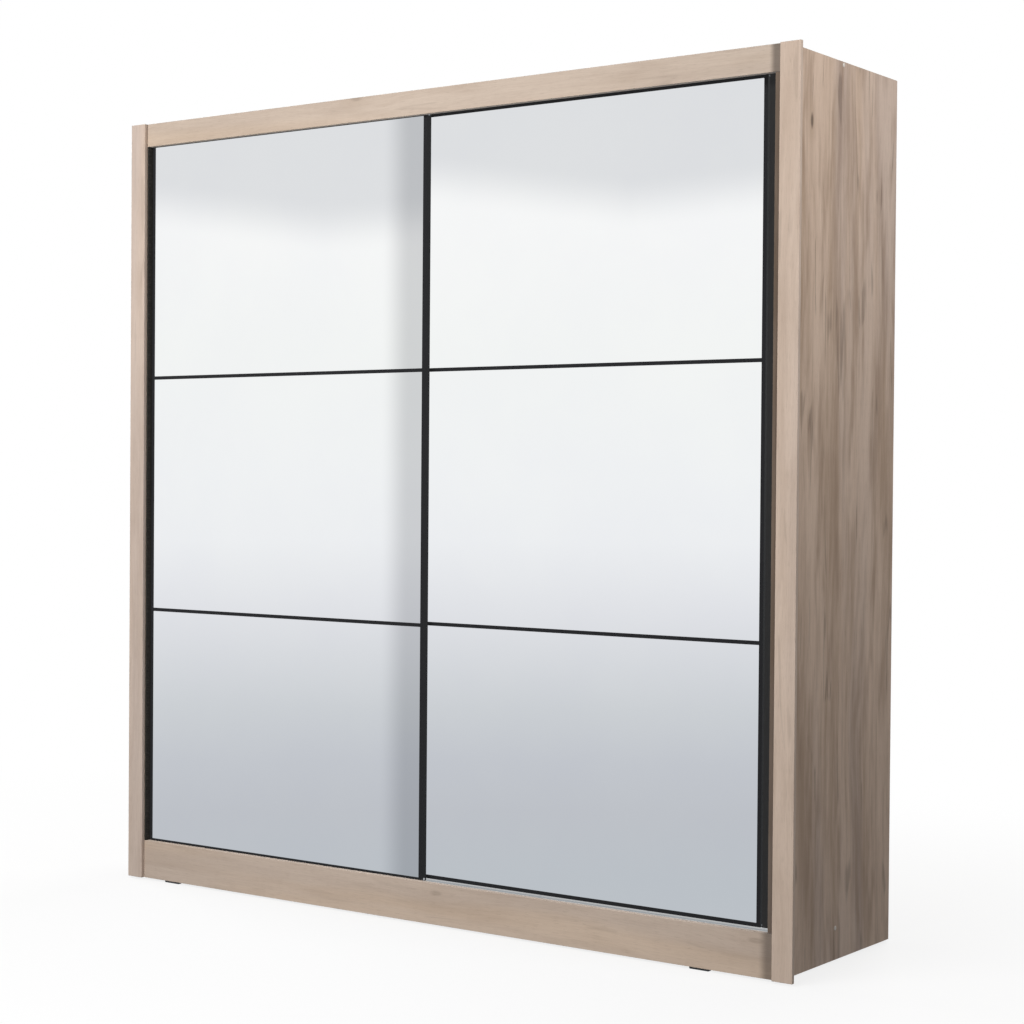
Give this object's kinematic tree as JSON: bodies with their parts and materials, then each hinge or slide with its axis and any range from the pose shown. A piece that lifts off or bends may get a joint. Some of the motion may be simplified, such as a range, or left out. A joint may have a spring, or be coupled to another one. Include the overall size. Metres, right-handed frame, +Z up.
{
  "type": "sliding door wardrobe",
  "caption": "Wide wardrobe in rustic oak board with sliding mirror doors in slim black frames, shelves behind one door and a hanging rail behind the other.",
  "frame": {"origin": "on the floor, under the middle of the box around the whole wardrobe", "axes": "+Z up; +X to the right of someone facing the doors; the doors face -Y and the back panels face +Y"},
  "size_m": [2.15, 0.58, 2.155],
  "materials": {
    "oak_board": "matt melamine-faced board with a rustic oak print",
    "hardboard": "thin matt hardboard",
    "black_board": "matt black melamine-faced board",
    "black_aluminium": "satin black powder coat on extruded aluminium",
    "mirror": "silvered float glass, 4 mm",
    "grey_board": "matt grey-faced thin board",
    "aluminium": "satin natural anodised",
    "zinc_steel": "zinc-plated pressed steel",
    "chrome": "chromed steel tube, polished",
    "grey_nylon": "plain moulded nylon",
    "black_plastic": "moulded, slightly textured",
    "black_brush": "dense pile strip"
  },
  "bodies": {
    "carcass": {"back_panel_left": "hardboard", "back_panel_right": "hardboard", "bottom_panel": "oak_board", "bottom_track": "aluminium", "centre_partition": "oak_board", "dust_seal": "black_brush", "filler_post": "black_board", "filler_strip": "oak_board", "glide_front_left": "black_plastic", "glide_front_right": "black_plastic", "glide_rear_left": "black_plastic", "glide_rear_right": "black_plastic", "hanging_rail": "chrome", "pilaster_left": "oak_board", "pilaster_right": "oak_board", "plinth_front": "oak_board", "plinth_rear": "oak_board", "rail_socket_left": "black_plastic", "rail_socket_right": "black_plastic", "shelf_left": "oak_board", "shelf_right_lower": "oak_board", "shelf_right_middle": "oak_board", "shelf_right_upper": "oak_board", "side_panel_left": "oak_board", "side_panel_right": "oak_board", "top_fascia": "oak_board", "top_panel": "oak_board", "top_track": "aluminium"},
    "front_door": {"front_door_backing_board": "grey_board", "front_door_bar_lower": "black_aluminium", "front_door_bar_upper": "black_aluminium", "front_door_bottom_rail": "black_aluminium", "front_door_mirror_lower": "mirror", "front_door_mirror_middle": "mirror", "front_door_mirror_upper": "mirror", "front_door_roller_housing_left": "zinc_steel", "front_door_roller_housing_right": "zinc_steel", "front_door_stile_left": "black_aluminium", "front_door_stile_right": "black_aluminium", "front_door_top_guide_left": "black_plastic", "front_door_top_guide_right": "black_plastic", "front_door_top_rail": "black_aluminium"},
    "rear_door": {"rear_door_backing_board": "grey_board", "rear_door_bar_lower": "black_aluminium", "rear_door_bar_upper": "black_aluminium", "rear_door_bottom_rail": "black_aluminium", "rear_door_mirror_lower": "mirror", "rear_door_mirror_middle": "mirror", "rear_door_mirror_upper": "mirror", "rear_door_roller_housing_left": "zinc_steel", "rear_door_roller_housing_right": "zinc_steel", "rear_door_stile_left": "black_aluminium", "rear_door_stile_right": "black_aluminium", "rear_door_top_guide_left": "black_plastic", "rear_door_top_guide_right": "black_plastic", "rear_door_top_rail": "black_aluminium"},
    "front_left_roller": {"front_door_wheel_left": "grey_nylon"},
    "front_right_roller": {"front_door_wheel_right": "grey_nylon"},
    "rear_left_roller": {"rear_door_wheel_left": "grey_nylon"},
    "rear_right_roller": {"rear_door_wheel_right": "grey_nylon"}
  },
  "joints": [
    {"name": "front_door_slide", "type": "slide", "parent": "carcass", "child": "front_door", "axis": [1, 0, 0], "range_m": [0, 0.975]},
    {"name": "rear_door_slide", "type": "slide", "parent": "carcass", "child": "rear_door", "axis": [1, 0, 0], "range_m": [-0.958, 0]},
    {"name": "front_left_roller_spin", "type": "hinge", "parent": "front_door", "child": "front_left_roller", "pos_m": [-0.928, -0.2345, 0.1213], "axis": [0, 1, 0], "range_deg": [0, 4700]},
    {"name": "front_right_roller_spin", "type": "hinge", "parent": "front_door", "child": "front_right_roller", "pos_m": [-0.1145, -0.2345, 0.1213], "axis": [0, 1, 0], "range_deg": [0, 4700]},
    {"name": "rear_left_roller_spin", "type": "hinge", "parent": "rear_door", "child": "rear_left_roller", "pos_m": [0.0335, -0.1965, 0.1213], "axis": [0, 1, 0], "range_deg": [-4700, 0]},
    {"name": "rear_right_roller_spin", "type": "hinge", "parent": "rear_door", "child": "rear_right_roller", "pos_m": [0.864, -0.1965, 0.1213], "axis": [0, 1, 0], "range_deg": [-4700, 0]}
  ],
  "couplings": [
    {"joint": "front_left_roller_spin", "follows": "front_door_slide", "rad_per_m": 83.333},
    {"joint": "front_right_roller_spin", "follows": "front_door_slide", "rad_per_m": 83.333},
    {"joint": "rear_left_roller_spin", "follows": "rear_door_slide", "rad_per_m": 83.333},
    {"joint": "rear_right_roller_spin", "follows": "rear_door_slide", "rad_per_m": 83.333}
  ]
}
